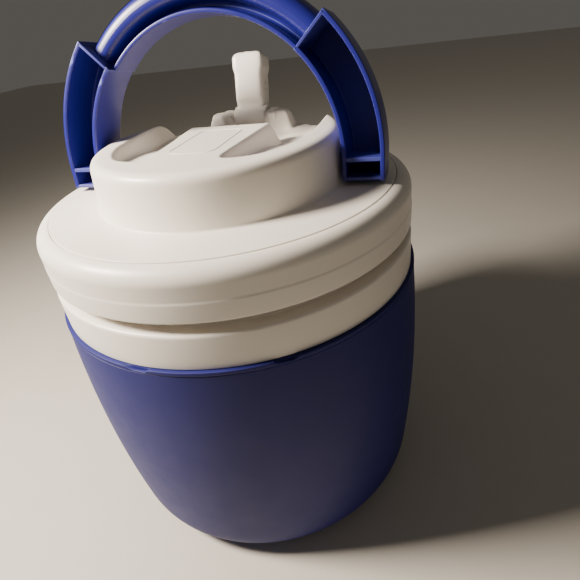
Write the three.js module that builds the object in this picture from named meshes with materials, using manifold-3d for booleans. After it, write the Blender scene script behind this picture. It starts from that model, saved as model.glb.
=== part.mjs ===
// One-gallon insulated drinking jug with a screw lid, a flip-up spout and a swinging bail handle.
// Millimetres, +Z up. The origin is on the floor at the jug's axis. The handle pivots about X,
// the spout stands at +Y and the plain side of the lid faces -Y.
import * as THREE from "three";
import { mergeVertices } from "three/addons/utils/BufferGeometryUtils.js";
import Module from "manifold-3d";

// ---- driving dimensions ----
const SIDES = 40;                // facets round every turned piece
const GAP = 0.3;                 // clearance between pieces that touch on the real jug
const WALL = 2.4;                // moulded wall thickness

const SEAM_Z = 158.2;            // joint between the blue jacket and the white collar
const SEAM_R = 105;              // jacket radius at that joint
const KINK_Z = 21.5;             // where the jacket wall turns into the base corner
const KINK_R = 102.3;
const BULGE = 3.3;               // how far the jacket wall bows out at mid height
const FOOT_R = 74;               // outer edge of the flat foot ring
const FOOT_IN_R = 65;            // inner edge of the foot ring that the jug stands on
const FOOT_RISE = 1.5;           // height of the bottom inside that ring
const FILL_R = 14;               // hole in the bottom that the foam is poured through
const NOTCH_ANGLES = [-96, -58, 122, 84];   // snap notches in the jacket's top edge, in degrees
const NOTCH_WIDE = 9;

const COLLAR_R = 103.4;
const LEDGE_Z = 177;             // top of the collar, the ledge under the lid
const NECK_R = 96.5;
const NECK_TOP = 197.5;
const MOUTH_R = 92;              // inside of the liner at the mouth
const LINER_FOOT_R = 86;         // inside of the liner at its foot
const LINER_FLOOR = 17;
const LINER_WALL = 1.9;
const LIP_Z = NECK_TOP + GAP;    // underside of the liner's lip, which lies on the neck
const LIP_THICK = 2;
const GASKET_THICK = 2;

const SKIRT_Z = 183;             // lower edge of the lid
const SKIRT_R = 103.3;
const SKIRT_IN_R = 100;
const SHOULDER_Z = 200;          // where the lid's side turns into its rounded shoulder
const DECK_R = 95.2;
const DECK_Z = 208;              // flat deck round the turret
const TURRET_FOOT_R = 69.3;
const TURRET_R = 66.6;
const TOP_Z = 233.5;             // top of the turret
const CAP_Z = 187;               // underside of the cap that closes the lid from below
const CAP_R = 89;
const CAP_WALL = 2.2;
const SHELF_Z = LIP_Z + LIP_THICK + GAP + GASKET_THICK + GAP;   // the lid's shelf over the gasket

const THREAD_LEAD = 24;          // rise in one turn
const THREAD_STARTS = 4;
const THREAD_TURN = 80;          // degrees that each thread runs round
const NECK_THREAD_Z = 188.6;     // start of the neck's threads; the lid's run half a pitch below
const NECK_CREST_R = 98.3;
const LID_CREST_R = 97.2;

const PIVOT_Z = 219.6;           // axis of the handle
const LEAN = 7.3;                // degrees that the handle leans back at rest
const ARM_IN_R = 70.2;
const ARM_OUT_R = 91;
const ARM_FRONT = -12.9;
const ARM_BACK = 10.8;
const ARM_END = -10.6;           // lower end of the arms, below the pivot
const TRUNNION_END = 61.5;       // inner end of the trunnions that turn in the turret
const GRIP_IN_R = 69.6;
const GRIP_OUT_R = 87.7;
const GRIP_FRONT = -7.5;
const GRIP_HALF = 45;            // degrees to each side of the top

const BAR_FRONT_HALF = 19;       // half width of the finger bar at its front
const BAR_BACK_HALF = 24.5;
const BAR_BACK_Y = 20.5;
const RECESS_R = 54.5;           // outer side of the finger recesses
const RECESS_FRONT_Z = 229.5;
const RECESS_BACK_Z = 223.3;
const VALLEY_Z = 221;            // floor that the closed spout lies over
const BLOCK_Y = 50;              // front of the two ears that hold the spout
const EAR_IN = 11.2;
const EAR_OUT = 21;
const SLOT_Z = 219.5;            // floor of the slot between the ears

const SPOUT_Y = 59.5;            // hinge axis of the spout
const SPOUT_Z = 229;
const SPOUT_LEAN = 16;
const SPOUT_LONG = 38;
const HUB_R = 7.2;
const HUB_HALF = 10.8;
const SPOUT_BORE_R = 4.2;
const SPOUT_TRUNNION_R = 2.6;
const SPOUT_TRUNNION_X = 14;     // the spout's trunnions reach this far to each side
const SLEEVE_R = 6.6;            // tube that leads the drink through the lid
const HANDLE_TRUNNION_R = 4.6;
const TURN_GAP = 0.35;           // clearance round both pairs of trunnions

// ---- solids ----
const wasm = await Module();
wasm.setup();

// A closed three.js geometry as a manifold solid: positions only, with shared corners merged.
function solid(geometry) {
  const g = geometry.index ? geometry.toNonIndexed() : geometry.clone();
  g.deleteAttribute("normal");
  g.deleteAttribute("uv");
  const m = mergeVertices(g, 1e-4);
  return new wasm.Manifold(new wasm.Mesh({
    numProp: 3,
    vertProperties: new Float32Array(m.attributes.position.array),
    triVerts: new Uint32Array(m.index.array),
  }));
}

function geometryOf(manifold) {
  const mesh = manifold.getMesh();
  const g = new THREE.BufferGeometry();
  g.setAttribute("position", new THREE.BufferAttribute(new Float32Array(mesh.vertProperties), 3));
  g.setIndex(new THREE.BufferAttribute(new Uint32Array(mesh.triVerts), 1));
  g.computeVertexNormals();
  return g;
}

// A closed outline of [radius, height] points, counter-clockwise, turned about Z.
function turned(outline, sides = SIDES) {
  const points = [...outline, outline[0]].map(([r, z]) => new THREE.Vector2(r, z));
  return solid(new THREE.LatheGeometry(points, sides).rotateX(Math.PI / 2));
}

// A solid turned body: the outline starts and ends on the axis.
function turnedSolid(outline, sides = SIDES) {
  const points = outline.map(([r, z]) => new THREE.Vector2(r, z));
  return solid(new THREE.LatheGeometry(points, sides).rotateX(Math.PI / 2));
}

function rod(radius, x0, x1, y, z, sides = 24) {
  const g = new THREE.CylinderGeometry(radius, radius, x1 - x0, sides).rotateZ(Math.PI / 2);
  return solid(g.translate((x0 + x1) / 2, y, z));
}

function post(radius, x, y, z0, z1, sides = 24) {
  const g = new THREE.CylinderGeometry(radius, radius, z1 - z0, sides).rotateX(Math.PI / 2);
  return solid(g.translate(x, y, (z0 + z1) / 2));
}

function block(x0, x1, y0, y1, z0, z1) {
  const g = new THREE.BoxGeometry(x1 - x0, y1 - y0, z1 - z0);
  return solid(g.translate((x0 + x1) / 2, (y0 + y1) / 2, (z0 + z1) / 2));
}

// A flat outline extruded: in plan (x, y) between two heights, from the side (y, z) between two
// values of x, or from the front (x, z) between two values of y.
function outlineShape(points) {
  return new THREE.Shape(points.map(([a, b]) => new THREE.Vector2(a, b)));
}

function planPrism(points, z0, z1) {
  const g = new THREE.ExtrudeGeometry(outlineShape(points), { depth: z1 - z0, bevelEnabled: false });
  return solid(g.translate(0, 0, z0));
}

function sidePrism(points, x0, x1) {
  const g = new THREE.ExtrudeGeometry(outlineShape(points), { depth: x1 - x0, bevelEnabled: false });
  return solid(g.rotateX(Math.PI / 2).rotateZ(Math.PI / 2).translate(x0, 0, 0));
}

function frontPrism(points, y0, y1) {
  const g = new THREE.ExtrudeGeometry(outlineShape(points), { depth: y1 - y0, bevelEnabled: false });
  return solid(g.rotateX(Math.PI / 2).translate(0, y1, 0));
}

const radians = (degrees) => degrees * Math.PI / 180;
const mirrored = (points) => points.map(([a, b]) => [-a, b]).reverse();
const steps = (from, to, count) =>
  Array.from({ length: count + 1 }, (_, i) => from + (to - from) * i / count);

// ---- the jug's body ----
// Outer radius of the jacket at a height: a slightly tapered wall that bows out at mid height.
function jacketRadius(z) {
  const s = (SEAM_Z - z) / (SEAM_Z - KINK_Z);
  return SEAM_R + (KINK_R - SEAM_R) * s + 4 * BULGE * s * (1 - s);
}

// The base corner is a quadratic curve from the foot ring to the wall.
function baseCorner(t, inset) {
  const control = KINK_R - 3;
  const r = (1 - t) ** 2 * FOOT_R + 2 * t * (1 - t) * control + t * t * KINK_R;
  const z = t * t * KINK_Z;
  const slope = Math.atan2(t * KINK_Z, (1 - t) * (control - FOOT_R) + t * (KINK_R - control));
  return [r - inset * Math.sin(slope), z + inset * Math.cos(slope)];
}

function outerJacket() {
  const wallHeights = steps(KINK_Z, SEAM_Z - 2.2, 6);
  const outside = [
    [FILL_R, FOOT_RISE],
    [FOOT_IN_R - FOOT_RISE, FOOT_RISE],
    [FOOT_IN_R, 0],
    ...steps(0, 1, 5).map((t) => baseCorner(t, 0)),
    ...wallHeights.slice(1).map((z) => [jacketRadius(z), z]),
    [SEAM_R + 0.3, SEAM_Z - 1.6],
    [SEAM_R + 0.2, SEAM_Z],
  ];
  const inside = [
    [SEAM_R - WALL, SEAM_Z],
    ...[130, 90, 50].map((z) => [jacketRadius(z) - WALL, z]),
    ...steps(1, 0.1, 3).map((t) => baseCorner(t, WALL)),
    [FOOT_IN_R, FOOT_RISE + WALL],
    [FILL_R, FOOT_RISE + WALL],
  ];
  let jacket = turned([...outside, ...inside]);
  for (const angle of NOTCH_ANGLES) {
    const notch = new THREE.BoxGeometry(6, NOTCH_WIDE, 2.6).translate(SEAM_R + 1.8, 0, SEAM_Z);
    jacket = jacket.subtract(solid(notch.rotateZ(radians(angle))));
  }
  return jacket;
}

function fillPlug() {
  const top = FOOT_RISE + WALL;
  return turnedSolid([[0, FOOT_RISE], [FILL_R - GAP - 0.5, FOOT_RISE], [FILL_R - GAP, FOOT_RISE + 0.5],
    [FILL_R - GAP, top + GAP], [FILL_R + 2.5, top + GAP], [FILL_R + 2.5, top + GAP + 1.2],
    [0, top + GAP + 1.2]], 24);
}

const linerRadius = (z) =>
  LINER_FOOT_R + (MOUTH_R - LINER_FOOT_R) * (z - LINER_FLOOR) / (NECK_TOP - LINER_FLOOR);

function innerLiner() {
  const corner = 10;
  const outerR = (z) => linerRadius(z) + LINER_WALL;
  return turnedSolid([
    [0, LINER_FLOOR - 2],
    [outerR(LINER_FLOOR) - corner, LINER_FLOOR - 2],
    [outerR(LINER_FLOOR) - 3, LINER_FLOOR + 0.8],
    [outerR(LINER_FLOOR + corner), LINER_FLOOR + corner],
    [outerR(NECK_TOP), LIP_Z],
    [NECK_R - GAP, LIP_Z],
    [NECK_R - GAP, LIP_Z + LIP_THICK],
    [MOUTH_R, LIP_Z + LIP_THICK],
    [linerRadius(LINER_FLOOR + corner), LINER_FLOOR + corner],
    [linerRadius(LINER_FLOOR) - 2.6, LINER_FLOOR + 2.4],
    [linerRadius(LINER_FLOOR) - corner, LINER_FLOOR],
    [0, LINER_FLOOR],
  ]);
}

// The foam between jacket and liner, poured through the bottom and set in one piece.
function bodyFoam() {
  const gap = 0.6;
  const top = SEAM_Z - 2.5;
  const under = LINER_FLOOR - 2 - GAP;
  const linerSide = (z) => linerRadius(z) + LINER_WALL + gap;
  return turnedSolid([
    [0, 7],
    [FOOT_IN_R + 8, 7],
    [90, 13.5],
    ...[30, 60, 95, 130].map((z) => [jacketRadius(z) - WALL - gap - 0.3, z]),
    [SEAM_R - WALL - 3, top],
    [linerSide(top), top],
    [linerSide(LINER_FLOOR + 10), LINER_FLOOR + 9.8],
    [linerSide(LINER_FLOOR) - 3, LINER_FLOOR + 0.1],
    [linerSide(LINER_FLOOR) - 10.2, under],
    [0, under],
  ]);
}

// The threads of one screw: blunt ridges that climb a helix, each carried along it ring by ring.
function threads(rootR, crestR, startZ) {
  const half = 1.5;
  const rings = 10;
  const depth = crestR - rootR;
  const buried = -0.8 * Math.sign(depth);
  const section = [[buried, -half], [depth, -half * 0.45], [depth, half * 0.45], [buried, half]];
  return steps(0, THREAD_STARTS - 1, THREAD_STARTS - 1).map((start) =>
    skin(steps(0, THREAD_TURN, rings).map((turn, i) => {
      const angle = radians(start * 360 / THREAD_STARTS + turn);
      const taper = i === 0 || i === rings ? 0.35 : 1;
      return section.map(([r, z]) => {
        const radius = rootR + (r === depth ? r * taper : r);
        return [radius * Math.cos(angle), radius * Math.sin(angle), startZ + z + THREAD_LEAD * turn / 360];
      });
    })));
}

// A closed skin over a run of four-cornered rings, wound so that its faces point out.
function skin(rings) {
  const corners = rings.flat();
  const n = 4;
  const faces = [[0, 1, 2], [0, 2, 3]];
  const last = (rings.length - 1) * n;
  faces.push([last, last + 2, last + 1], [last, last + 3, last + 2]);
  for (let i = 0; i < rings.length - 1; i++) {
    for (let k = 0; k < n; k++) {
      const a = i * n + k;
      const b = i * n + (k + 1) % n;
      faces.push([a, a + n, b], [b, a + n, b + n]);
    }
  }
  const g = new THREE.BufferGeometry();
  g.setAttribute("position", new THREE.BufferAttribute(new Float32Array(corners.flat()), 3));
  g.setIndex(faces.flat());
  return g;
}

function facingOut(geometry) {
  const p = geometry.attributes.position;
  const index = geometry.index.array;
  let volume = 0;
  const v = [new THREE.Vector3(), new THREE.Vector3(), new THREE.Vector3()];
  for (let i = 0; i < index.length; i += 3) {
    v.forEach((w, k) => w.fromBufferAttribute(p, index[i + k]));
    volume += v[0].dot(v[1].clone().cross(v[2]));
  }
  if (volume < 0) {
    for (let i = 0; i < index.length; i += 3) {
      [index[i], index[i + 1]] = [index[i + 1], index[i]];
    }
  }
  return solid(geometry);
}

const withThreads = (body, runs) => runs.reduce((sum, run) => sum.add(facingOut(run)), body);

function collarNeck() {
  const foot = SEAM_Z + GAP;
  const neckIn = NECK_R - WALL;
  const ring = turned([
    [COLLAR_R - WALL, foot],
    [COLLAR_R, foot],
    [COLLAR_R - 0.1, LEDGE_Z - 2],
    [COLLAR_R - 0.8, LEDGE_Z - 0.6],
    [COLLAR_R - 2.2, LEDGE_Z],
    [NECK_R, LEDGE_Z],
    [NECK_R, NECK_TOP - 0.6],
    [NECK_R - 0.6, NECK_TOP],
    [neckIn, NECK_TOP],
    [neckIn, LEDGE_Z - WALL],
    [COLLAR_R - WALL, LEDGE_Z - WALL],
  ]);
  return withThreads(ring, threads(NECK_R, NECK_CREST_R, NECK_THREAD_Z));
}

// ---- the lid ----
function lidRim() {
  const shoulder = steps(0, 90, 4).map((a) => {
    const t = radians(a);
    return [DECK_R + 0.5 + (SKIRT_R - 0.7 - DECK_R - 0.5) * Math.cos(t),
      SHOULDER_Z + (DECK_Z - 0.6 - SHOULDER_Z) * Math.sin(t)];
  });
  const ring = turned([
    [SKIRT_IN_R, SKIRT_Z],
    [SKIRT_R - 0.4, SKIRT_Z],
    [SKIRT_R, SKIRT_Z + 0.6],
    [SKIRT_R, SKIRT_Z + 9.6],
    [SKIRT_R - 0.4, SKIRT_Z + 10.2],
    ...shoulder,
    [DECK_R + 0.3, DECK_Z - WALL - GAP],
    [CAP_R + 0.4, DECK_Z - WALL - GAP],
    [CAP_R + 0.4, SHELF_Z],
    [NECK_R + 1, SHELF_Z],
    [SKIRT_IN_R, SHELF_Z - 2.6],
  ]);
  return withThreads(ring, threads(SKIRT_IN_R, LID_CREST_R, NECK_THREAD_Z - THREAD_LEAD / THREAD_STARTS / 2));
}

function lidGasket() {
  const z = LIP_Z + LIP_THICK + GAP;
  const top = z + GASKET_THICK;
  const inner = MOUTH_R + 0.6;
  const outer = NECK_R + GAP;
  return turned([[inner, z], [outer - 0.6, z], [outer, z + 0.7], [outer, top - 0.6], [outer - 0.6, top],
    [inner, top]]);
}

// Turned outline of the turret over the deck, drawn inward by a wall thickness.
function turretOutline(inset) {
  const rounding = 4.2;
  const corner = [15, 45, 75].map((a) => [
    TURRET_R - rounding + (rounding - inset) * Math.cos(radians(a)),
    TOP_Z - rounding + (rounding - inset) * Math.sin(radians(a)),
  ]);
  return [
    [TURRET_FOOT_R + 0.8 - inset, DECK_Z - inset],
    [TURRET_FOOT_R - inset, DECK_Z + 0.8 - inset],
    [TURRET_R - inset + 0.4, TOP_Z - rounding - 2],
    ...corner,
    [0, TOP_Z - inset],
  ];
}

// Plan outline of the right finger recess, grown by an amount: the bar's side, a rounded front end,
// the outer arc, and a straight side that runs out over the back of the turret.
function recessPlan(grow) {
  const outer = RECESS_R + grow;
  const side = (y) => BAR_FRONT_HALF - grow
    + (BAR_BACK_HALF - BAR_FRONT_HALF) * (y + 40) / (BAR_BACK_Y + 40);
  const arc = steps(-52, -4, 7).map((a) => [outer * Math.cos(radians(a)), outer * Math.sin(radians(a))]);
  return [
    [side(-36), -36],
    [side(-36) + 1.6, -40 - grow * 0.6],
    [side(-36) + 5, -43 - grow],
    ...arc,
    [outer + 0.6, 4],
    [outer + 0.6, 24],
    [side(24), 24],
  ];
}

// Section of the scooped notch that lets each recess out through the back of the turret.
function notchSection(grow) {
  const half = (RECESS_R + 0.6 - EAR_OUT - 3) / 2 + grow;
  const middle = (RECESS_R + 0.6 + EAR_OUT + 3) / 2;
  const depth = TOP_Z - RECESS_BACK_Z + grow;
  const curve = steps(-1, 1, 10).map((u) => [
    middle + half * u,
    TOP_Z - depth * (0.5 + 0.5 * Math.cos(Math.PI * u)),
  ]);
  return [...curve, [middle + half, TOP_Z + 8], [middle - half, TOP_Z + 8]];
}

function recesses(grow) {
  const wedge = sidePrism([
    [-80, RECESS_FRONT_Z - grow + 0.1], [-45, RECESS_FRONT_Z - grow], [16, RECESS_BACK_Z - grow],
    [40, RECESS_BACK_Z - grow], [40, TOP_Z + 8], [-80, TOP_Z + 8],
  ], -90, 90);
  const plan = recessPlan(grow);
  const right = planPrism(plan, VALLEY_Z - 6, TOP_Z + 6).intersect(wedge);
  const left = planPrism(mirrored(plan), VALLEY_Z - 6, TOP_Z + 6).intersect(wedge);
  const notch = notchSection(grow);
  const rightNotch = frontPrism(notch, 16, 90);
  const leftNotch = frontPrism(mirrored(notch), 16, 90);
  const valley = block(-BAR_BACK_HALF - 6, BAR_BACK_HALF + 6, BAR_BACK_Y - grow, BLOCK_Y + grow,
    VALLEY_Z - grow, TOP_Z + 8);
  const slot = block(-EAR_IN - grow, EAR_IN + grow, BLOCK_Y - 2, 90, SLOT_Z - grow, TOP_Z + 8);
  return right.add(left).add(rightNotch).add(leftNotch).add(valley).add(slot);
}

function lidDeck() {
  const outside = turnedSolid([[0, DECK_Z - WALL], [DECK_R, DECK_Z - WALL], [DECK_R, DECK_Z - 0.5],
    [DECK_R - 0.6, DECK_Z], ...turretOutline(0)]);
  const hollow = turnedSolid([[0, DECK_Z - WALL - 3], [TURRET_FOOT_R - 2.4, DECK_Z - WALL - 3],
    ...turretOutline(WALL).slice(1)]).subtract(recesses(WALL));
  let deck = outside.subtract(recesses(0)).subtract(hollow);
  const handleHole = HANDLE_TRUNNION_R + TURN_GAP;
  deck = deck.subtract(rod(handleHole, -80, -60, 0, PIVOT_Z)).subtract(rod(handleHole, 60, 80, 0, PIVOT_Z));
  deck = deck.subtract(post(SLEEVE_R + GAP, 0, SPOUT_Y, SLOT_Z - WALL - 4, SLOT_Z + 1));
  const earHole = SPOUT_TRUNNION_R + TURN_GAP;
  return deck.subtract(rod(earHole, -SPOUT_TRUNNION_X - GAP, SPOUT_TRUNNION_X + GAP, SPOUT_Y, SPOUT_Z, 16));
}

function lidInnerCap() {
  const cup = turned([[0.01, CAP_Z], [CAP_R - 2, CAP_Z], [CAP_R, CAP_Z + 2], [CAP_R, DECK_Z - WALL - GAP],
    [CAP_R - 2, DECK_Z - WALL - GAP], [CAP_R - 2, CAP_Z + CAP_WALL + 1], [CAP_R - 3, CAP_Z + CAP_WALL],
    [0.01, CAP_Z + CAP_WALL]]);
  return cup.subtract(post(SLEEVE_R + GAP, 0, SPOUT_Y, CAP_Z - 1, CAP_Z + 4))
    .add(post(2, 0, 0, CAP_Z, CAP_Z + CAP_WALL, 12));
}

function lidFoam() {
  const bottom = CAP_Z + CAP_WALL + GAP;
  const top = DECK_Z - WALL - GAP;
  const foam = turnedSolid([[0, bottom], [CAP_R - 4, bottom], [CAP_R - 2.6, bottom + 2],
    [CAP_R - 2.6, top], [0, top]]);
  return foam.subtract(post(SLEEVE_R + GAP, 0, SPOUT_Y, bottom - 1, top + 1));
}

function drinkSleeve() {
  const top = SLOT_Z - 0.4;
  const tube = post(SLEEVE_R, 0, SPOUT_Y, CAP_Z - 1.6, top);
  const flange = post(SLEEVE_R + 2, 0, SPOUT_Y, CAP_Z - 1.6, CAP_Z - GAP);
  return tube.add(flange).subtract(post(SPOUT_BORE_R + 0.4, 0, SPOUT_Y, CAP_Z - 3, top + 1));
}

function spoutSeal() {
  const ring = post(SLEEVE_R, 0, SPOUT_Y, SLOT_Z - 0.4 + GAP, SPOUT_Z - 5.4);
  return ring.subtract(post(SPOUT_BORE_R + 0.4, 0, SPOUT_Y, SLOT_Z - 2, SPOUT_Z))
    .subtract(rod(HUB_R + GAP, -HUB_HALF, HUB_HALF, SPOUT_Y, SPOUT_Z, 32));
}

// ---- the spout, drawn upright about its own hinge axis ----
function spout() {
  const hub = rod(HUB_R, -HUB_HALF, HUB_HALF, 0, 0, 32);
  const trunnions = rod(SPOUT_TRUNNION_R, -SPOUT_TRUNNION_X, SPOUT_TRUNNION_X, 0, 0, 16);
  const blade = sidePrism([
    [-5, -1], [8.4, -1], [10, 4], [9.6, SPOUT_LONG - 4], [7.2, SPOUT_LONG - 0.6], [3, SPOUT_LONG],
    [-3.4, SPOUT_LONG - 0.4], [-6, SPOUT_LONG - 3], [-6.8, SPOUT_LONG - 8], [-6.4, 12], [-5, 8],
  ], -11, 11);
  const rightEdge = [[9.4, -2], [9, 9], [9.2, 20], [10.2, SPOUT_LONG - 5], [9.6, SPOUT_LONG - 1.5],
    [7.6, SPOUT_LONG + 1]];
  const front = frontPrism([...rightEdge, ...mirrored(rightEdge)], -12, 14);
  const bore = post(SPOUT_BORE_R, 0, 0.6, -20, SPOUT_LONG + 4, 20);
  return hub.add(trunnions).add(blade.intersect(front)).subtract(bore);
}

// ---- the handle, drawn upright about its pivot axis ----
// A sector of a ring between two radii and two angles, measured from the right arm over the top.
function sector(r0, r1, a0, a1, y0, y1, count = 12) {
  const out = steps(a0, a1, count).map((a) => [r1 * Math.cos(radians(a)), r1 * Math.sin(radians(a))]);
  const back = steps(a1, a0, count).map((a) => [r0 * Math.cos(radians(a)), r0 * Math.sin(radians(a))]);
  return frontPrism([...out, ...back], y0, y1);
}

function arm(side) {
  const wall = 2.3;
  const start = side > 0 ? 0 : 180;
  const end = side > 0 ? 90 - GRIP_HALF : 90 + GRIP_HALF;
  const [a0, a1] = [Math.min(start, end), Math.max(start, end)];
  const back = ARM_BACK - wall;
  const curved = sector(ARM_IN_R, ARM_OUT_R, a0, a1, ARM_FRONT, ARM_BACK)
    .subtract(sector(ARM_IN_R + wall, ARM_OUT_R - wall, a0 - 1, a1 + 1, ARM_FRONT - 1, back));
  const endWall = side > 0 ? [a1 - 1.6, a1] : [a0, a0 + 1.6];
  const wallPiece = sector(ARM_IN_R, ARM_OUT_R, ...endWall, ARM_FRONT, ARM_BACK, 1);
  // the straight foot below the pivot: square in front, rounded behind so that it can swing back
  const foot = sidePrism([
    [ARM_FRONT, 0.01], [ARM_FRONT, ARM_END + 1], [ARM_FRONT + 1, ARM_END], [1.5, ARM_END],
    [5.6, -9.2], [8.6, -6.2], [10.2, -3], [ARM_BACK, 0.01],
  ], Math.min(side * ARM_IN_R, side * ARM_OUT_R), Math.max(side * ARM_IN_R, side * ARM_OUT_R));
  const pocketIn = side * (ARM_IN_R + wall);
  const pocketOut = side * (ARM_OUT_R - wall);
  const pocket = block(Math.min(pocketIn, pocketOut), Math.max(pocketIn, pocketOut),
    ARM_FRONT - 1, 6, ARM_END + 1.6, -1.6);
  const trunnion = rod(HANDLE_TRUNNION_R, Math.min(side * TRUNNION_END, side * (ARM_IN_R + 1)),
    Math.max(side * TRUNNION_END, side * (ARM_IN_R + 1)), 0, 0);
  const rib = block(Math.min(pocketIn - side, pocketOut + side), Math.max(pocketIn - side, pocketOut + side),
    ARM_FRONT, 9, -1.6, 0.6);
  return curved.add(wallPiece).add(foot).subtract(pocket).add(rib).add(trunnion);
}

function bailHandle() {
  const from = 90 - GRIP_HALF;
  const to = 90 + GRIP_HALF;
  const flange = sector(GRIP_IN_R, GRIP_IN_R + 2.2, from, to, GRIP_FRONT, ARM_BACK);
  const web = sector(GRIP_IN_R, GRIP_OUT_R - 3, from, to, ARM_BACK - 2.4, ARM_BACK);
  const bar = sector(76, GRIP_OUT_R - 2.5, from, to, GRIP_FRONT, ARM_BACK)
    .add(sector(77.5, GRIP_OUT_R, from, to, GRIP_FRONT + 2.5, ARM_BACK - 2.5));
  return flange.add(web).add(bar).add(arm(1)).add(arm(-1));
}

// ---- finishes and assembly ----
const finish = (color, roughness, metalness = 0) =>
  new THREE.MeshStandardMaterial({ color, roughness, metalness });

const blue = finish(0x1b2f9a, 0.5);
const white = finish(0xf1ede5, 0.42);
const linerWhite = finish(0xeeede9, 0.35);
const foamCream = finish(0xe9dfb8, 0.95);
const rubber = finish(0xd8d8d4, 0.7);

function named(name, manifold, material) {
  const mesh = new THREE.Mesh(geometryOf(manifold), material.clone());
  mesh.name = name;
  return mesh;
}

const jug = new THREE.Group();
jug.add(
  named("outer_jacket", outerJacket(), blue),
  named("foam_fill_plug", fillPlug(), blue),
  named("body_foam", bodyFoam(), foamCream),
  named("inner_liner", innerLiner(), linerWhite),
  named("collar_neck", collarNeck(), white),
);

const lid = new THREE.Group();
lid.add(
  named("lid_rim", lidRim(), white),
  named("lid_deck", lidDeck(), white),
  named("lid_inner_cap", lidInnerCap(), white),
  named("lid_foam", lidFoam(), foamCream),
  named("lid_gasket", lidGasket(), rubber),
  named("drink_sleeve", drinkSleeve(), white),
  named("spout_seal", spoutSeal(), rubber),
);

const spoutGroup = new THREE.Group();
spoutGroup.position.set(0, SPOUT_Y, SPOUT_Z);
spoutGroup.rotation.x = -radians(SPOUT_LEAN);
spoutGroup.add(named("flip_spout", spout(), white));
lid.add(spoutGroup);

const handleGroup = new THREE.Group();
handleGroup.position.set(0, 0, PIVOT_Z);
handleGroup.rotation.x = -radians(LEAN);
handleGroup.add(named("bail_handle", bailHandle(), blue));
lid.add(handleGroup);

jug.add(lid);

export default jug;
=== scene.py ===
import math
import bpy
import numpy as np
from mathutils import Matrix, Vector


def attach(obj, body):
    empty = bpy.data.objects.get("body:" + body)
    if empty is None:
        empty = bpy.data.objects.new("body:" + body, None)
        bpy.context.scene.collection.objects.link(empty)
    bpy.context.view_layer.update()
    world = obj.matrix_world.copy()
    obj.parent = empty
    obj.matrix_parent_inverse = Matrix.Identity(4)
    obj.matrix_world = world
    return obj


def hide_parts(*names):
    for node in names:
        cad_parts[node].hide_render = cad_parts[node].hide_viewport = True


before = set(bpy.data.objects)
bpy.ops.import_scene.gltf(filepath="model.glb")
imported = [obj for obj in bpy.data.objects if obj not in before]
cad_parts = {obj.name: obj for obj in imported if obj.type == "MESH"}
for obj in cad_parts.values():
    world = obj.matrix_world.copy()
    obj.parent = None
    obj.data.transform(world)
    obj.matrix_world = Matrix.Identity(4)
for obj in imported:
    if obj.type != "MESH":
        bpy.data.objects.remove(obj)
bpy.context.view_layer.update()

# ---- Jacket ----
# The blue outer shell is one injection moulding in high-density polyethylene with a fine matt mould
# texture, a bowed wall, a rounded base corner and a foot ring. Its top edge is a thin smooth rim with
# shallow snap notches, where the white collar clips in.
MM = 0.001
SEAM_Z = 158.2
SEAM_R = 105
KINK_Z = 21.5
KINK_R = 102.3
BULGE = 3.2
FOOT_R = 74
FOOT_IN_R = 65
FOOT_RISE = 1.5
FILL_R = 14
WALL = 2.4
GAP = 0.3
TURNS = 288
NOTCH_ANGLES = (-96, -58, 122, 84)
NOTCH_HALF = 2.4
NOTCH_DEEP = 1.4


def linear(hex_colour):
    """An sRGB hex colour as linear RGBA: ((c + 0.055) / 1.055) ** 2.4, or c / 12.92 for dark channels."""
    channels = [int(hex_colour[i:i + 2], 16) / 255 for i in (1, 3, 5)]
    return [c / 12.92 if c <= 0.04045 else ((c + 0.055) / 1.055) ** 2.4 for c in channels] + [1.0]


def add(tree, kind, inputs=None, **settings):
    """Adds one shader node. A value in inputs is set on its socket, and another node's output is linked."""
    node = tree.nodes.new(kind)
    for key, value in settings.items():
        setattr(node, key, value)
    for key, value in (inputs or {}).items():
        if isinstance(value, bpy.types.NodeSocket):
            tree.links.new(value, node.inputs[key])
        else:
            node.inputs[key].default_value = value
    return node


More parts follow.
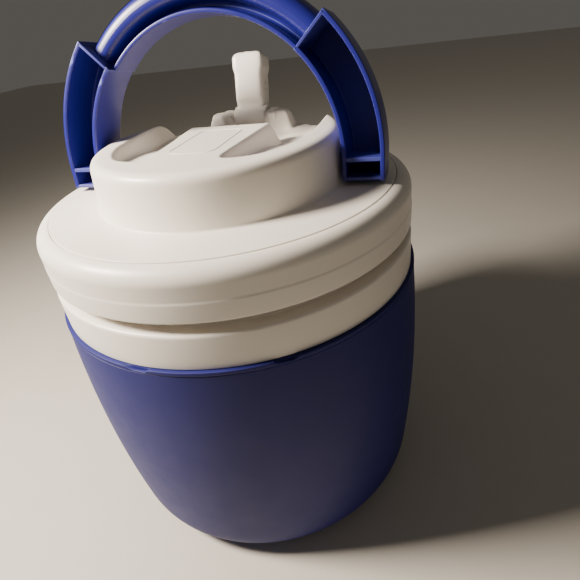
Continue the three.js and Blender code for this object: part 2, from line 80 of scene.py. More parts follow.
def moulded_plastic(name, colour, shade, roughness, grain_mm, grain_depth, painted_edge_highlight=0.0, sheen=0.5):
    """A moulded plastic: two close colours mixed by soft clouds about 30 mm across, a roughness that
    wanders with handling marks, and the mould's grain as a bump of the given width and depth in mm.
    painted_edge_highlight mixes a pale blue painted highlight into the colour of the sharp edges, standing in
    for the light they catch. sheen is the strength of the surface's reflection: 0.5 is smooth plastic, and a
    fine grain breaks up some of it."""
    material = bpy.data.materials.new(name)
    material.use_nodes = True
    tree = material.node_tree
    shader = tree.nodes["Principled BSDF"]
    place = add(tree, "ShaderNodeTexCoord").outputs["Object"]
    cloud = add(tree, "ShaderNodeTexNoise", {"Vector": place, "Scale": 1 / (30 * MM), "Detail": 3.0})
    body = add(tree, "ShaderNodeMix", {"Factor": cloud.outputs["Fac"], 6: linear(colour), 7: linear(shade)},
               data_type="RGBA")
    tone = body.outputs[2]
    if painted_edge_highlight:
        # Painted highlight: sharp edges, found by pointiness, are mixed towards a pale blue in the base
        # colour, standing in for the light they catch.
        edge = add(tree, "ShaderNodeNewGeometry").outputs["Pointiness"]
        edge_highlight_mask = add(tree, "ShaderNodeMapRange", {"Value": edge, "From Min": 0.53, "From Max": 0.62,
                                                "To Min": 0.0, "To Max": painted_edge_highlight})
        highlighted_tone = add(tree, "ShaderNodeMix", {"Factor": edge_highlight_mask.outputs["Result"], 6: tone, 7: linear("#7C86D2")},
                   data_type="RGBA")
        tone = highlighted_tone.outputs[2]
    tree.links.new(tone, shader.inputs["Base Color"])
    marks = add(tree, "ShaderNodeTexNoise", {"Vector": place, "Scale": 1 / (14 * MM), "Detail": 6.0,
                                             "Roughness": 0.7})
    gloss = add(tree, "ShaderNodeMapRange", {"Value": marks.outputs["Fac"], "From Min": 0.3, "From Max": 0.7,
                                             "To Min": roughness - 0.04,
                                             "To Max": roughness + 0.04})
    tree.links.new(gloss.outputs["Result"], shader.inputs["Roughness"])
    grain = add(tree, "ShaderNodeTexNoise", {"Vector": place, "Scale": 1 / (grain_mm * MM), "Detail": 2.0})
    bump = add(tree, "ShaderNodeBump", {"Height": grain.outputs["Fac"], "Strength": 0.35,
                                        "Distance": grain_depth * MM})
    tree.links.new(bump.outputs["Normal"], shader.inputs["Normal"])
    shader.inputs["IOR"].default_value = 1.5
    shader.inputs["Specular IOR Level"].default_value = sheen
    return material


def softened(corners, steps=5):
    """A closed outline with its corners rounded. A corner (a, b, cut) becomes the quadratic curve that leaves
    one side and joins the other, cut mm from the corner. A cut of 0 keeps the corner sharp. An open outline
    is given with one more point before and after, which are then sliced off."""
    points = np.array([c[:2] for c in corners], float)
    cuts = np.array([c[2] for c in corners], float)
    before = np.roll(points, 1, 0) - points
    after = np.roll(points, -1, 0) - points
    before /= np.maximum(np.linalg.norm(before, axis=1, keepdims=True), 1e-9)
    after /= np.maximum(np.linalg.norm(after, axis=1, keepdims=True), 1e-9)
    s = np.linspace(0, 1, steps + 1)[None, :, None]
    start = (points + before * cuts[:, None])[:, None]
    end = (points + after * cuts[:, None])[:, None]
    curve = (1 - s) ** 2 * start + 2 * s * (1 - s) * points[:, None] + s ** 2 * end
    pieces = [curve[i] if cuts[i] > 0 else points[i:i + 1] for i in range(len(corners))]
    return np.concatenate(pieces)


def skin(grid, closed):
    """A closed skin over a grid of points (rows, ring, 3). Each ring closes on itself. Rows close on each
    other if closed, and otherwise a fan to the mean of the first and last ring shuts each end."""
    rows, ring = grid.shape[:2]
    verts = grid.reshape(-1, 3)
    last = rows if closed else rows - 1
    i, j = np.meshgrid(np.arange(last), np.arange(ring), indexing="ij")
    k = (j + 1) % ring
    below = (i + 1) % rows
    quads = np.stack([i * ring + j, i * ring + k, below * ring + k, below * ring + j], -1).reshape(-1, 4)
    faces = [tuple(q) for q in quads.tolist()]
    if not closed:
        j = np.arange(ring)
        k = (j + 1) % ring
        centre = len(verts)
        end = (rows - 1) * ring
        verts = np.concatenate([verts, grid[0].mean(0)[None], grid[-1].mean(0)[None]])
        faces += [tuple(f) for f in np.stack([k, j, np.full(ring, centre)], -1).tolist()]
        faces += [tuple(f) for f in np.stack([end + j, end + k, np.full(ring, centre + 1)], -1).tolist()]
    return verts, faces


def facing_out(verts, faces):
    """Turns a closed skin's faces outwards: its signed volume, a sum of tetrahedra to the origin, is made
    positive."""
    total = 0.0
    for size in (3, 4):
        some = np.array([f for f in faces if len(f) == size])
        if len(some):
            a, b, c = (verts[some[:, n]] for n in range(3))
            total += np.einsum("ij,ij->i", a, np.cross(b, c)).sum()
            if size == 4:
                d = verts[some[:, 3]]
                total += np.einsum("ij,ij->i", a, np.cross(c, d)).sum()
    return faces if total > 0 else [f[::-1] for f in faces]


def piece(name, skins, material, body, nodes, crease=38):
    """Makes one object from closed skins in mm, smooth except where faces meet at more than crease degrees,
    rides it on its body and lets it stand for its CAD nodes."""
    all_verts = []
    all_faces = []
    for verts, faces in skins:
        start = sum(len(v) for v in all_verts)
        all_faces += [tuple(n + start for n in f) for f in facing_out(verts, faces)]
        all_verts.append(verts)
    mesh = bpy.data.meshes.new(name)
    mesh.from_pydata((np.concatenate(all_verts) * MM).tolist(), [], all_faces)
    mesh.validate()
    mesh.polygons.foreach_set("use_smooth", np.ones(len(mesh.polygons), bool))
    mesh.set_sharp_from_angle(angle=math.radians(crease))
    mesh.materials.append(material)
    obj = bpy.data.objects.new(name, mesh)
    bpy.context.scene.collection.objects.link(obj)
    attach(obj, body)
    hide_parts(*nodes)
    return obj


def turned(outline, closed=True, turns=TURNS, change=None):
    """An outline of (radius, height) points turned about Z. change may alter the heights by angle."""
    angle = np.linspace(0, 2 * np.pi, turns, endpoint=False)[None]
    r = outline[:, :1] * np.ones_like(angle)
    z = outline[:, 1:] * np.ones_like(angle)
    if change:
        z = change(r, z, angle)
    return skin(np.stack([r * np.cos(angle), r * np.sin(angle), z], -1), closed)


def smooth_step(x):
    """0 below 0, 1 above 1, and 3x^2 - 2x^3 between."""
    x = np.clip(x, 0, 1)
    return x * x * (3 - 2 * x)


def jacket_radius(z):
    """The wall's radius: a straight taper from seam to kink, plus a parabola that bows it out half-way."""
    s = (SEAM_Z - z) / (SEAM_Z - KINK_Z)
    return SEAM_R + (KINK_R - SEAM_R) * s + 4 * BULGE * s * (1 - s)


def base_corner(t, inset):
    """The quadratic curve from the foot ring, t = 0, to the wall, t = 1, moved inwards along its normal."""
    control = KINK_R - 3
    r = (1 - t) ** 2 * FOOT_R + 2 * t * (1 - t) * control + t ** 2 * KINK_R
    z = t ** 2 * KINK_Z
    slope = np.arctan2(t * KINK_Z, (1 - t) * (control - FOOT_R) + t * (KINK_R - control))
    return np.stack([r - inset * np.sin(slope), z + inset * np.cos(slope)], -1)


def notched(r, z, angle):
    """Lowers the top edge to a flat notch with short steep ends at each notch angle."""
    away = np.min([np.abs((np.degrees(angle) - a + 180) % 360 - 180) for a in NOTCH_ANGLES], axis=0)
    in_notch = 1 - smooth_step((away - NOTCH_HALF) / 0.7)
    outer = smooth_step((r - SEAM_R + 1.3) / 0.4)
    top = smooth_step((z - SEAM_Z + 1.75) / 1.6)
    return z - NOTCH_DEEP * in_notch * outer * top


heights = np.linspace(KINK_Z, SEAM_Z - 2.6, 40)[1:]
inner_heights = np.linspace(SEAM_Z - 4, KINK_Z + 6, 12)
rim = softened([(SEAM_R, SEAM_Z - 4, 0), (SEAM_R + 0.02, SEAM_Z - 2.2, 0.3),
                (SEAM_R + 0.45, SEAM_Z - 1.75, 0.3), (SEAM_R + 0.35, SEAM_Z, 0.35),
                (SEAM_R - 1.2, SEAM_Z, 0.3), (SEAM_R - WALL, SEAM_Z, 0.3),
                (SEAM_R - WALL, SEAM_Z - 4, 0)], 4)[1:-1]
bottom = softened([(FILL_R, FOOT_RISE, 0), (FOOT_IN_R - FOOT_RISE, FOOT_RISE, 0.4), (FOOT_IN_R, 0, 0.4),
                   (FOOT_R, 0, 0)], 4)[1:-1]
jacket_outline = np.concatenate([
    [[FILL_R, FOOT_RISE]],
    np.stack([np.linspace(FILL_R, FOOT_IN_R - 4, 6)[1:], np.full(5, FOOT_RISE)], -1),
    bottom,
    base_corner(np.linspace(0.02, 1, 26), 0),
    np.stack([jacket_radius(heights), heights], -1),
    rim,
    np.stack([jacket_radius(inner_heights) - WALL, inner_heights], -1),
    base_corner(np.linspace(0.95, 0.1, 10), WALL),
    [[FOOT_IN_R, FOOT_RISE + WALL], [FILL_R, FOOT_RISE + WALL]],
])
JACKET_BLUE = "#1F2068"
JACKET_SHADE = "#1D1E61"
# Moulded polyethylene with a fine spark-eroded grain: a satin surface with a broad soft highlight. The real
# grain is near 0.2 mm and too fine to show, so it is drawn 0.7 mm wide.
jacket_plastic = moulded_plastic("moulded_polyethylene_blue", JACKET_BLUE, JACKET_SHADE, 0.55, 0.7, 0.05,
                                 sheen=0.3)
piece("jacket", [turned(jacket_outline, change=notched)], jacket_plastic, "jug",
      ["outer_jacket"], crease=30)

# ---- Foam fill plug ----
# A small blue disc pressed into the hole in the bottom after the foam has been poured.
PLUG_R = FILL_R - GAP
FLANGE_R = FILL_R + 2.5
FLANGE_Z = FOOT_RISE + 2.7
FLANGE_TOP = FOOT_RISE + 3.9
plug_outline = softened([(0.5, FOOT_RISE, 0), (PLUG_R, FOOT_RISE, 0.5), (PLUG_R, FLANGE_Z, 0),
                         (FLANGE_R, FLANGE_Z, 0.2), (FLANGE_R, FLANGE_TOP, 0.2), (0.5, FLANGE_TOP, 0)])
piece("fill_plug", [turned(plug_outline, closed=False, turns=72)], jacket_plastic, "jug",
      ["foam_fill_plug"])

# ---- Collar and neck ----
# One white polypropylene moulding: the band above the jacket with a rounded lip, the ledge behind it, and
# the neck with the four starts of the lid's thread.
COLLAR_R = 103.4
LEDGE_Z = 177
NECK_R = 96.5
NECK_TOP = 197.5
NECK_CREST_R = 98.3
THREAD_LEAD = 24
THREAD_STARTS = 4
THREAD_TURN = 80
NECK_THREAD_Z = 188.6
TOOTH_ROOT_HALF = 1.5
TOOTH_CREST_HALF = 0.68
TOOTH_BURIED = 0.8
LID_WHITE = "#F3EDE3"
LID_SHADE = "#EEE7DC"


def thread(root_r, crest_r, start_z, start_angle):
    """One thread: a rounded tooth carried up a helix, z = start + lead * angle / 360, its height easing in
    and out over the first and last 8 degrees."""
    side = np.sign(crest_r - root_r)
    root = -TOOTH_BURIED * side
    crest = crest_r - root_r
    tooth = softened([(root, -TOOTH_ROOT_HALF, 0), (crest, -TOOTH_CREST_HALF, 0.4),
                      (crest, TOOTH_CREST_HALF, 0.4), (root, TOOTH_ROOT_HALF, 0)], 4)
    turn = np.linspace(0, THREAD_TURN, 60)[:, None]
    ease = smooth_step(np.minimum(turn, THREAD_TURN - turn) / 8) * 0.9 + 0.1
    lift = np.where(tooth[None, :, 0] * side > 0, tooth[None, :, 0] * ease, tooth[None, :, 0])
    angle = np.radians(start_angle + turn)
    r = root_r + lift
    z = start_z + THREAD_LEAD * turn / 360 + tooth[None, :, 1]
    return skin(np.stack([r * np.cos(angle), r * np.sin(angle), z], -1), False)


collar_outline = softened([
    (COLLAR_R - WALL, SEAM_Z + GAP, 0.3), (COLLAR_R, SEAM_Z + GAP, 0.3), (COLLAR_R - 0.1, LEDGE_Z, 2.0),
    (NECK_R, LEDGE_Z, 0.8), (NECK_R, NECK_TOP, 0.6), (NECK_R - WALL, NECK_TOP, 0.4),
    (NECK_R - WALL, LEDGE_Z - WALL, 0.4), (COLLAR_R - WALL, LEDGE_Z - WALL, 0.4)])
neck_threads = [thread(NECK_R, NECK_CREST_R, NECK_THREAD_Z, 360 / THREAD_STARTS * start)
                for start in range(THREAD_STARTS)]
# Moulded polypropylene in a warm white: a satin surface, smoother than the jacket, with light just under it.
lid_plastic = moulded_plastic("moulded_polypropylene_white", LID_WHITE, LID_SHADE, 0.38, 0.9, 0.02)
lid_plastic.node_tree.nodes["Principled BSDF"].inputs["Subsurface Weight"].default_value = 0.12
lid_plastic.node_tree.nodes["Principled BSDF"].inputs["Subsurface Radius"].default_value = (1.0, 0.8, 0.6)
lid_plastic.node_tree.nodes["Principled BSDF"].inputs["Subsurface Scale"].default_value = 2.5 * MM
piece("collar_and_neck", [turned(collar_outline)] + neck_threads, lid_plastic, "jug",
      ["collar_neck"])

# ---- Liner ----
# The food-grade polyethylene cup that holds the drink, blow-moulded smooth and slightly tapered, with a lip
# that lies over the neck.
LINER_FLOOR = 17
MOUTH_R = 92
LINER_FOOT_R = 86
LINER_WALL = 1.9
LIP_Z = NECK_TOP + GAP
LIP_THICK = 2
liner_outline = softened([
    (0.5, LINER_FLOOR - 2, 0), (LINER_FOOT_R + LINER_WALL - 0.5, LINER_FLOOR - 2, 9),
    (MOUTH_R + LINER_WALL - 0.2, LIP_Z, 0.3), (NECK_R - GAP, LIP_Z, 0.2),
    (NECK_R - GAP, LIP_Z + LIP_THICK, 0.6), (MOUTH_R, LIP_Z + LIP_THICK, 1.2),
    (LINER_FOOT_R - 0.5, LINER_FLOOR, 9), (0.5, LINER_FLOOR, 0)], 8)
# Natural white polyethylene: smoother and glossier than the outside because the tool is polished.
liner_plastic = moulded_plastic("polished_polyethylene_white", "#EDEBE6", "#E6E4DE", 0.26, 1.5, 0.01)
piece("liner", [turned(liner_outline, closed=False)], liner_plastic, "jug", ["inner_liner"])

# ---- Lid rim ----
# The lid's outer ring in white polypropylene: the skirt that the hand turns, with a faint step half-way up,
# the rounded shoulder, the ledge that the deck is welded to, and the thread inside.
SKIRT_Z = 183
SKIRT_R = 103.3
SKIRT_IN_R = 100
LID_CREST_R = 97.2
SHOULDER_Z = 200
DECK_R = 95.2
DECK_Z = 208
SHELF_Z = NECK_TOP + 4.9
SHELF_R = 89.4
STEP = 0.25
UNDER_DECK = DECK_Z - WALL - GAP
turn = np.radians(np.linspace(0, 90, 22))
SHOULDER_WIDE = SKIRT_R - STEP - DECK_R - 0.45
shoulder = np.stack([DECK_R + 0.45 + SHOULDER_WIDE * np.cos(turn),
                     SHOULDER_Z + (DECK_Z - 0.35 - SHOULDER_Z) * np.sin(turn)], -1)
skirt = softened([(SKIRT_IN_R, SHELF_Z - 2.6, 0), (SKIRT_IN_R, SKIRT_Z, 0.4), (SKIRT_R, SKIRT_Z, 0.9),
                  (SKIRT_R, SKIRT_Z + 9.4, 0.5), (SKIRT_R - STEP, SKIRT_Z + 10.3, 0.5),
                  (SKIRT_R - STEP, SHOULDER_Z, 0)], 5)[1:-1]
inside = softened([(DECK_R + 0.28, DECK_Z - 0.6, 0), (DECK_R + 0.25, UNDER_DECK, 0.1),
                   (SHELF_R, UNDER_DECK, 0.2), (SHELF_R, SHELF_Z, 0.2), (NECK_R + 1, SHELF_Z, 0.3),
                   (SKIRT_IN_R, SHELF_Z - 2.6, 0.4), (SKIRT_IN_R, SKIRT_Z, 0)], 3)[1:-1]
mouth_of_groove = [[DECK_R + 0.28, DECK_Z - 0.6]]
rim_outline = np.concatenate([skirt, shoulder, mouth_of_groove, inside])
lid_threads = [thread(SKIRT_IN_R, LID_CREST_R, NECK_THREAD_Z - THREAD_LEAD / THREAD_STARTS / 2,
                      360 / THREAD_STARTS * start) for start in range(THREAD_STARTS)]
piece("lid_rim_ring", [turned(rim_outline)] + lid_threads, lid_plastic, "lid", ["lid_rim"])

# ---- Lid deck ----
# The top of the lid in one white polypropylene moulding: the flat deck, the turret with its drafted wall and
# rounded edge, two finger recesses with a bar between them, the bed that the closed spout lies in, and the
# two ears that carry the spout.
TURRET_FOOT_R = 69.3
TURRET_R = 66.6
TOP_Z = 233.5
BAR_FRONT_HALF = 19
BAR_BACK_HALF = 24.5
BAR_BACK_Y = 20.5
RECESS_R = 54.6
RECESS_FRONT_Y = -43.5
RECESS_FRONT_Z = 229.3
RECESS_BACK_Z = 223.3
SPOUT_BED_Z = 221
BLOCK_Y = 50
EAR_IN = 11.2
EAR_MID_Y = 57
EAR_HALF_WIDE = 4.0
EAR_HALF_LONG = 7.4
SLOT_Z = 219.5
SCOOP_MID = 39.5
SCOOP_HALF = 15.6
SCOOP_BRIM_Z = TOP_Z + 3
RECESS_FALL = 2.6


def lower_of(a, b, blend):
    """The smaller of two values, with the corner where they cross rounded over a width of blend."""
    h = np.clip(0.5 + 0.5 * (b - a) / blend, 0, 1)
    return b * (1 - h) + a * h - blend * h * (1 - h)


def upper_of(a, b, blend):
    """The larger of two values, with the corner where they cross rounded over a width of blend."""
    return -lower_of(-a, -b, blend)


def hollow(inside_by, floor, slope, foot):
    """The height over a hollow: a wall that falls by slope for each mm inside its edge, down to a floor
    that it meets in a fillet."""
    return upper_of(floor, TOP_Z - slope * inside_by, foot)


def recess_height(x, y):
    """The lowest of the lid's hollows at a place in plan: the finger recess between the bar and an arc, the
    smooth floor behind the bar's straight back edge, which is the spout's bed in the middle and runs out
    through the back as a cosine scoop on each side of the ears, and the slot for the spout's hub."""
    side = np.abs(x)
    along = (np.minimum(y, BAR_BACK_Y) + 40) / (BAR_BACK_Y + 40)
    bar = BAR_FRONT_HALF + (BAR_BACK_HALF - BAR_FRONT_HALF) * along
    arc = RECESS_R - np.hypot(x, np.minimum(y, 0))
    edge = lower_of(lower_of(side - bar, arc, 5), y - RECESS_FRONT_Y, 7)
    ramp = RECESS_FRONT_Z + (RECESS_BACK_Z - RECESS_FRONT_Z) * np.clip((y + 45) / 61, 0, 1)
    recess = np.minimum(hollow(edge, ramp, RECESS_FALL, 2.0), SCOOP_BRIM_Z)
    across = np.clip((side - SCOOP_MID) / SCOOP_HALF, -1, 1)
    cosine = SCOOP_BRIM_Z - (SCOOP_BRIM_Z - RECESS_BACK_Z) * (0.5 + 0.5 * np.cos(np.pi * across))
    hump = cosine + 1.2 * smooth_step((24 - side) / 8)
    level = SPOUT_BED_Z + (RECESS_BACK_Z - SPOUT_BED_Z) * smooth_step((side - 22) / 14)
    past_ears = smooth_step((y - BLOCK_Y + 3) / 7)
    behind = np.where(side < SCOOP_MID, level + (hump - level) * past_ears, cosine)
    bar_back = np.where(side < bar + 4, TOP_Z - 6 * (y - BAR_BACK_Y), SLOT_Z)
    scoop = upper_of(behind, bar_back, 1.5)
    backward = smooth_step((y - 4) / 14)
    height = lower_of(recess, scoop, 1.5) * backward + recess * (1 - backward)
    slot = np.minimum(EAR_IN - side, y - BLOCK_Y + 2)
    return lower_of(height, hollow(slot, SLOT_Z, 9, 0.8), 0.8)


def filled(outline, spacing):
    """The same open outline with points added along it, so that no step is longer than the spacing."""
    rows = [outline[:1]]
    for a, b in zip(outline[:-1], outline[1:]):
        count = max(1, math.ceil(np.linalg.norm(b - a) / spacing))
        rows.append(a + (b - a) * np.linspace(0, 1, count + 1)[1:, None])
    return np.concatenate(rows)


def lid_surface():
    """The deck and turret as a turned outline, with every point of the turret then lowered to the hollows."""
    edge_r = DECK_R - 0.05
    outline = softened([(0.4, DECK_Z - WALL, 0), (edge_r, DECK_Z - WALL, 0), (edge_r, DECK_Z, 0.6),
                        (TURRET_FOOT_R, DECK_Z, 1.4), (TURRET_R, TOP_Z, 5.2), (0.4, TOP_Z, 0)], 12)
    under = outline[:2]
    outline = np.concatenate([under, filled(outline[2:], 1.0)])
    angle = np.linspace(0, 2 * np.pi, 480, endpoint=False)[None]
    x = outline[:, :1] * np.cos(angle)
    y = outline[:, :1] * np.sin(angle)
    z = outline[:, 1:] * np.ones_like(angle)
    carved = lower_of(z, recess_height(x, y), 1.3)
    z = np.where(z > DECK_Z + 1, carved, z)
    return skin(np.stack([x, y, z], -1), False)


def ear_nose(side):
    """The rounded ear beside the hub: upright ellipses, |x/a|^3 + |y/b|^3 = 1, that open from a point below
    like a bullet standing on its tip and close over a flat-domed top."""
    t = np.linspace(0, 1, 48)[:, None]
    around = np.linspace(0, 2 * np.pi, 64, endpoint=False)[None]
    open_up = np.sqrt(np.clip(1 - (1 - np.clip(t / 0.62, 0, 1)) ** 2, 0.004, 1))
    dome = np.sqrt(np.clip(1 - np.clip((t - 0.8) / 0.2, 0, 1) ** 2.6, 0.01, 1))
    cx = np.sign(np.cos(around)) * np.abs(np.cos(around)) ** (2 / 3)
    sy = np.sign(np.sin(around)) * np.abs(np.sin(around)) ** (2 / 3)
    x = side * (EAR_IN + 4.2) + EAR_HALF_WIDE * open_up * dome * cx
    y = EAR_MID_Y + EAR_HALF_LONG * open_up * (0.35 + 0.65 * dome) * dome * sy
    z = SLOT_Z + (TOP_Z + 1.2 - SLOT_Z) * t + 0 * around
    return skin(np.stack([x, y, z], -1), False)


def ridge(plan, z, wide, high):
    """A low half-round ridge carried along a closed plan outline."""
    ahead = np.roll(plan, -1, 0) - np.roll(plan, 1, 0)
    normal = np.stack([ahead[:, 1], -ahead[:, 0]], -1) / np.linalg.norm(ahead, axis=1, keepdims=True)
    a = np.linspace(0, 2 * np.pi, 12, endpoint=False)
    xy = plan[:, None] + normal[:, None] * (wide / 2 * np.cos(a))[None, :, None]
    height = z + high * np.sin(a)[None] * np.ones((len(plan), 1))
    return skin(np.concatenate([xy, height[..., None]], -1), True)


PANEL_HALF = 12.5
PANEL_FRONT = -34
PANEL_BACK = 11
PANEL_ROUND = 7
PANEL_LINE_WIDE = 0.7
PANEL_LINE_HIGH = 0.25
panel = softened([(-PANEL_HALF, PANEL_FRONT, PANEL_ROUND), (PANEL_HALF, PANEL_FRONT, PANEL_ROUND),
                  (PANEL_HALF, PANEL_BACK, PANEL_ROUND), (-PANEL_HALF, PANEL_BACK, PANEL_ROUND)], 10)
panel_line = ridge(panel, TOP_Z, PANEL_LINE_WIDE, PANEL_LINE_HIGH)
piece("lid_top", [lid_surface(), ear_nose(1), ear_nose(-1), panel_line], lid_plastic, "lid",
      ["lid_deck"], crease=60)

# ---- Spout ----
# A flip-up spout in smooth white polypropylene: a hub that turns between the ears, and a blade that narrows
# above it and flares again at the mouth. It leans back when it is open.
SPOUT_Y = 59.5
SPOUT_Z = 229
SPOUT_LEAN = 16
SPOUT_LONG = 38
HUB_R = 7.2
HUB_HALF = 10.8
PIN_R = 2.6
PIN_HALF = 14
BORE_R = 4.2
BORE_Y = 0.6
LIP_ROUND = 4


def leaned(grid, degrees, y, z):
    """Leans points back about the X axis through (y, z), from where they stand upright about the origin."""
    c = math.cos(math.radians(degrees))
    s = math.sin(math.radians(degrees))
    return np.stack([grid[..., 0], grid[..., 1] * c + grid[..., 2] * s + y,
                     grid[..., 2] * c - grid[..., 1] * s + z], -1)


def spout_blade():
    """Rounded-rectangle rings, |x/a|^n + |y/b|^n = 1, that climb the blade, turn over its lip and go down
    the round bore. Width, front and back are smooth functions of the height."""
    around = np.linspace(0, 2 * np.pi, 120, endpoint=False)[None]
    straight = SPOUT_LONG - LIP_ROUND
    over = np.radians(np.linspace(0, 90, 14))[1:]
    up = np.concatenate([np.linspace(-1, straight, 44), straight + LIP_ROUND * np.sin(over)])[:, None]
    flare = smooth_step((up - 25) / 5)
    half = 9.1 + 0.3 * np.exp(-((up + 1) / 4) ** 2) + 1.0 * flare
    front = -5 - 1.6 * smooth_step((up - 7) / 5) - 0.2 * flare
    back = 9.6 + 0.3 * flare
    lip = np.sqrt(np.clip(1 - ((up - straight) / LIP_ROUND).clip(0, 1) ** 2, 0, 1))
    shrink = 1 - 0.42 * (1 - lip)
    middle = (front + back) / 2
    deep = (back - front) / 2
    power = 2 / 7
    cx = np.sign(np.cos(around)) * np.abs(np.cos(around)) ** power
    sy = np.sign(np.sin(around)) * np.abs(np.sin(around)) ** power
    outside = np.stack([half * shrink * cx, middle + deep * shrink * sy, up + 0 * around], -1)
    lip_z = np.array([SPOUT_LONG - 0.05, SPOUT_LONG - 0.5, SPOUT_LONG - 1.2])[:, None]
    lip_r = np.array([BORE_R + 0.75, BORE_R + 0.2, BORE_R])[:, None]
    down = np.linspace(SPOUT_LONG - 3, 7, 14)[:, None]
    bore_z = np.concatenate([lip_z, down])
    bore_r = np.concatenate([lip_r, np.full_like(down, BORE_R)])
    bore = np.stack([bore_r * np.cos(around), BORE_Y + bore_r * np.sin(around), bore_z + 0 * around], -1)
    verts, faces = skin(np.concatenate([outside, bore]), False)
    return leaned(verts, SPOUT_LEAN, SPOUT_Y, SPOUT_Z), faces


def cross_bar(radius, half, edge):
    """A round bar along X with rounded ends, centred on the hinge axis."""
    around = np.linspace(0, 2 * np.pi, 64, endpoint=False)[None]
    outline = softened([(0.3, -half, 0), (radius, -half, edge), (radius, half, edge), (0.3, half, 0)], 6)
    r = outline[:, :1]
    grid = np.stack([outline[:, 1:] + 0 * around, r * np.cos(around), r * np.sin(around)], -1)
    return skin(grid, False)


hub, hub_faces = cross_bar(HUB_R, HUB_HALF, 0.9)
pins, pin_faces = cross_bar(PIN_R, PIN_HALF, 0.5)
# The same polypropylene from a polished tool: glossier than the lid.
spout_plastic = moulded_plastic("polished_polypropylene_white", "#F1ECE4", "#ECE6DC", 0.3, 1.2, 0.01)
piece("spout", [spout_blade(), (leaned(hub, SPOUT_LEAN, SPOUT_Y, SPOUT_Z), hub_faces),
                (leaned(pins, SPOUT_LEAN, SPOUT_Y, SPOUT_Z), pin_faces)],
      spout_plastic, "spout", ["flip_spout"], crease=35)

# ---- Handle ----
# The bail handle is one blue polypropylene moulding. Its arms are channels open to the front with a cross
# rib and a closed foot, and each ends above in a wall that stands proud of the rounded grip. It turns on
# trunnions in the turret's wall and leans back a little.
PIVOT_Z = 219.6
LEAN = 7.3
ARM_IN_R = 70.2
ARM_OUT_R = 91
ARM_FRONT = -12.9
ARM_BACK = 10.8
ARM_END = -10.6
ARM_WALL = 2.3
GRIP_IN_R = 69.6
GRIP_OUT_R = 87.7
GRIP_FRONT = -7.5
GRIP_HALF = 45
TRUNNION_R = 4.6
TRUNNION_END = 61.5


def shrunk(outline, by):
    """A closed outline moved inwards along its own normals."""
    ahead = np.roll(outline, -1, 0) - np.roll(outline, 1, 0)
    normal = np.stack([-ahead[:, 1], ahead[:, 0]], -1)
    normal /= np.maximum(np.linalg.norm(ahead, axis=1, keepdims=True), 1e-9)
    return outline + normal * by


def along_arc(outline, start, end, steps, edge=0.0):
    """An outline of (radius, y) points carried round the pivot from one angle to another, measured from +X
    over the top. With edge, the first and last rings are drawn in to chamfer the ends."""
    angles = np.linspace(start, end, steps)
    rings = [outline] * steps
    if edge:
        nudge = math.degrees(edge / ARM_OUT_R) * np.sign(end - start)
        angles = np.concatenate([[start], [start + nudge], angles[1:-1], [end - nudge], [end]])
        rings = [shrunk(outline, edge), outline] + [outline] * (steps - 2) + [outline, shrunk(outline, edge)]
    rings = np.array(rings)
    a = np.radians(angles)[:, None]
    return skin(np.stack([rings[..., 0] * np.cos(a), rings[..., 1], rings[..., 0] * np.sin(a)], -1), False)


def arm_channel():
    """The arm's channel outline carried down from the end wall to the pivot's height and then straight down
    to the foot, where the back curves in as a circle about the pivot so that the handle can swing back."""
    outline = softened([
        (ARM_IN_R, ARM_FRONT, 0.7), (ARM_IN_R + ARM_WALL, ARM_FRONT, 0.7),
        (ARM_IN_R + ARM_WALL, ARM_BACK - ARM_WALL, 1.0), (ARM_OUT_R - ARM_WALL, ARM_BACK - ARM_WALL, 1.0),
        (ARM_OUT_R - ARM_WALL, ARM_FRONT, 0.7), (ARM_OUT_R, ARM_FRONT, 0.7),
        (ARM_OUT_R, ARM_BACK, 1.0), (ARM_IN_R, ARM_BACK, 1.0)], 5)
    a = np.radians(np.linspace(GRIP_HALF, 0, 40))[:, None]
    r = outline[None, :, 0]
    y = outline[None, :, 1]
    arc = np.stack([r * np.cos(a), y + 0 * a, r * np.sin(a)], -1)
    drop = np.linspace(0, -ARM_END, 14)[1:, None]
    tuck = np.sqrt(np.clip(1 - (drop / (ARM_BACK + 0.1)) ** 2, 0, 1))
    foot = np.stack([r + 0 * drop, np.where(y > 0, y * tuck, y), -drop + 0 * r], -1)
    return skin(np.concatenate([arc, foot]), False)


def slab(x, y, z, edge):
    """A flat plate between two corners, its four long edges and both faces softened by edge mm."""
    outline = softened([(x[0], y[0], edge), (x[1], y[0], edge), (x[1], y[1], edge), (x[0], y[1], edge)], 5)
    levels = [(z[0], edge * 0.7), (z[0] + edge * 0.7, 0), (z[1] - edge * 0.7, 0), (z[1], edge * 0.7)]
    rings = [np.concatenate([shrunk(outline, by), np.full((len(outline), 1), level)], 1)
             for level, by in levels]
    return skin(np.array(rings), False)


def mirrored(verts, faces):
    """The same skin on the other side of the jug; its faces are turned out again when it is made a piece."""
    return verts * [-1, 1, 1], faces


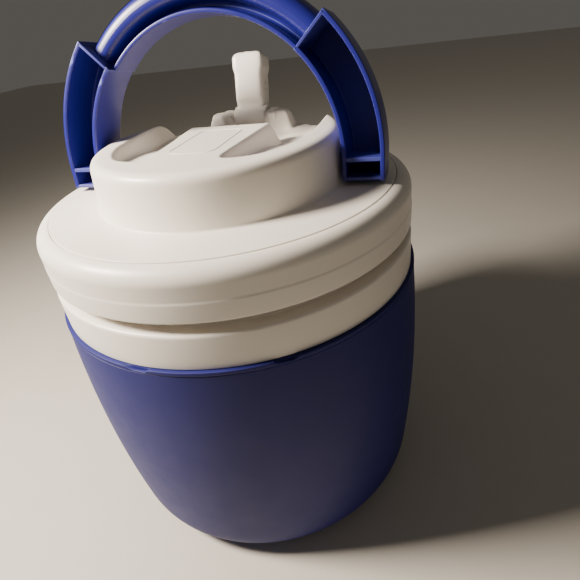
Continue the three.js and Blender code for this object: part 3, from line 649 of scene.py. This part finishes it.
arm_block = softened([(ARM_IN_R, ARM_FRONT, 0.8), (ARM_OUT_R, ARM_FRONT, 0.8), (ARM_OUT_R, ARM_BACK, 0.8),
                      (ARM_IN_R, ARM_BACK, 0.8)], 5)
trunnion, trunnion_faces = cross_bar(TRUNNION_R, (ARM_IN_R + 1 - TRUNNION_END) / 2, 0.6)
trunnion = trunnion + [(ARM_IN_R + 1 + TRUNNION_END) / 2, 0, 0]
right_arm = [
    arm_channel(),
    along_arc(arm_block, GRIP_HALF - 1.15, GRIP_HALF, 3, 0.4),
    slab((ARM_IN_R + 1, ARM_OUT_R - 1), (ARM_FRONT + 0.3, 9), (-1.6, 0.6), 0.5),
    slab((ARM_IN_R + 0.05, ARM_OUT_R - 0.05), (ARM_FRONT, 3.4), (ARM_END, ARM_END + 1.9), 1.0),
    (trunnion, trunnion_faces)]
grip_outline = softened([
    (GRIP_IN_R, GRIP_FRONT, 0.8), (GRIP_IN_R + 2.1, GRIP_FRONT, 0.8), (GRIP_IN_R + 2.5, 3.4, 1.6),
    (75.2, 3.4, 1.6), (76.6, GRIP_FRONT, 4.0), (85.0, GRIP_FRONT, 4.5), (GRIP_OUT_R, -1, 4.5),
    (GRIP_OUT_R, ARM_BACK - 3, 4.0), (82, ARM_BACK, 3.0), (GRIP_IN_R, ARM_BACK, 0.8)], 7)
grip = along_arc(grip_outline, GRIP_HALF - 0.6, 180 - GRIP_HALF + 0.6, 110)
handle_skins = [(leaned(v, LEAN, 0, PIVOT_Z), f)
                for v, f in [grip] + right_arm + [mirrored(*part) for part in right_arm]]
HANDLE_BLUE = "#21207C"
HANDLE_SHADE = "#1F1E74"
# Moulded polypropylene, a little glossier than the jacket, with a pale blue highlight painted onto its sharp
# edges.
handle_plastic = moulded_plastic("moulded_polypropylene_blue", HANDLE_BLUE, HANDLE_SHADE, 0.34, 1.1, 0.02,
                                 painted_edge_highlight=0.5)
piece("handle", handle_skins, handle_plastic, "handle", ["bail_handle"], crease=40)

# ---- Inside the lid and the walls ----
# These keep their CAD shape. The inner cap and the drink sleeve are the lid's white polypropylene, the
# gasket and the spout's seal are pale silicone, and the foam is cream polyurethane that has set in place.
seal_rubber = moulded_plastic("moulded_silicone", "#CFCFC8", "#C4C4BC", 0.55, 1.0, 0.01)
foam = moulded_plastic("poured_polyurethane_foam", "#E3D6A6", "#D8C78F", 0.95, 1.4, 0.5, sheen=0.15)
for names, finish in ((("lid_inner_cap", "drink_sleeve"), lid_plastic),
                      (("lid_gasket", "spout_seal"), seal_rubber),
                      (("body_foam", "lid_foam"), foam)):
    for name in names:
        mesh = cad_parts[name].data
        mesh.materials.clear()
        mesh.materials.append(finish)

# ---- Stage ----
# A plain pale floor, a small key lamp from the upper left front, a weak fill and a dim surround.
floor_mesh = bpy.data.meshes.new("floor")
FLOOR_HALF = 3.0
floor_mesh.from_pydata([(-FLOOR_HALF, -FLOOR_HALF, 0), (FLOOR_HALF, -FLOOR_HALF, 0),
                        (FLOOR_HALF, FLOOR_HALF, 0), (-FLOOR_HALF, FLOOR_HALF, 0)], [], [(0, 1, 2, 3)])
floor = bpy.data.objects.new("floor", floor_mesh)
bpy.context.scene.collection.objects.link(floor)
floor_mesh.materials.append(moulded_plastic("pale_floor", "#CFC9BF", "#CBC4B9", 0.6, 2.0, 0.01))

world = bpy.data.worlds.new("surround")
world.use_nodes = True
world.node_tree.nodes["Background"].inputs["Color"].default_value = linear("#D8D2C8")
world.node_tree.nodes["Background"].inputs["Strength"].default_value = 0.14
bpy.context.scene.world = world


def soft_light(name, place, size, power, colour):
    """A square area light in mm that faces the middle of the jug."""
    lamp = bpy.data.lights.new(name, "AREA")
    lamp.size = size * MM
    lamp.energy = power
    lamp.color = linear(colour)[:3]
    obj = bpy.data.objects.new(name, lamp)
    middle = Vector((0, 0, 150))
    obj.location = Vector(place) * MM
    obj.rotation_euler = (middle - Vector(place)).to_track_quat("-Z", "Y").to_euler()
    bpy.context.scene.collection.objects.link(obj)


soft_light("key", (-330, -190, 480), 110, 9.5, "#FFF3E4")
soft_light("fill", (700, -700, 300), 800, 0.25, "#FFF4E8")

# ---- Camera ----
# It looks down at the jug from the front right at a short distance and is rolled a little.
CAMERA_PLACE = Vector((111.7, -229.0, 286.9))
CAMERA_AIM = Vector((29.7, 0, 135.2))
CAMERA_ROLL = -8.06
CAMERA_LENS = 27.93
camera = bpy.data.objects.new("camera", bpy.data.cameras.new("camera"))
camera.data.lens = CAMERA_LENS
camera.data.sensor_width = 36
camera.data.clip_start = 0.01
turned_to = (CAMERA_AIM - CAMERA_PLACE).to_track_quat("-Z", "Y").to_matrix().to_4x4()
camera.matrix_world = (Matrix.Translation(CAMERA_PLACE * MM) @ turned_to
                       @ Matrix.Rotation(math.radians(CAMERA_ROLL), 4, "Z"))
bpy.context.scene.collection.objects.link(camera)
bpy.context.scene.camera = camera
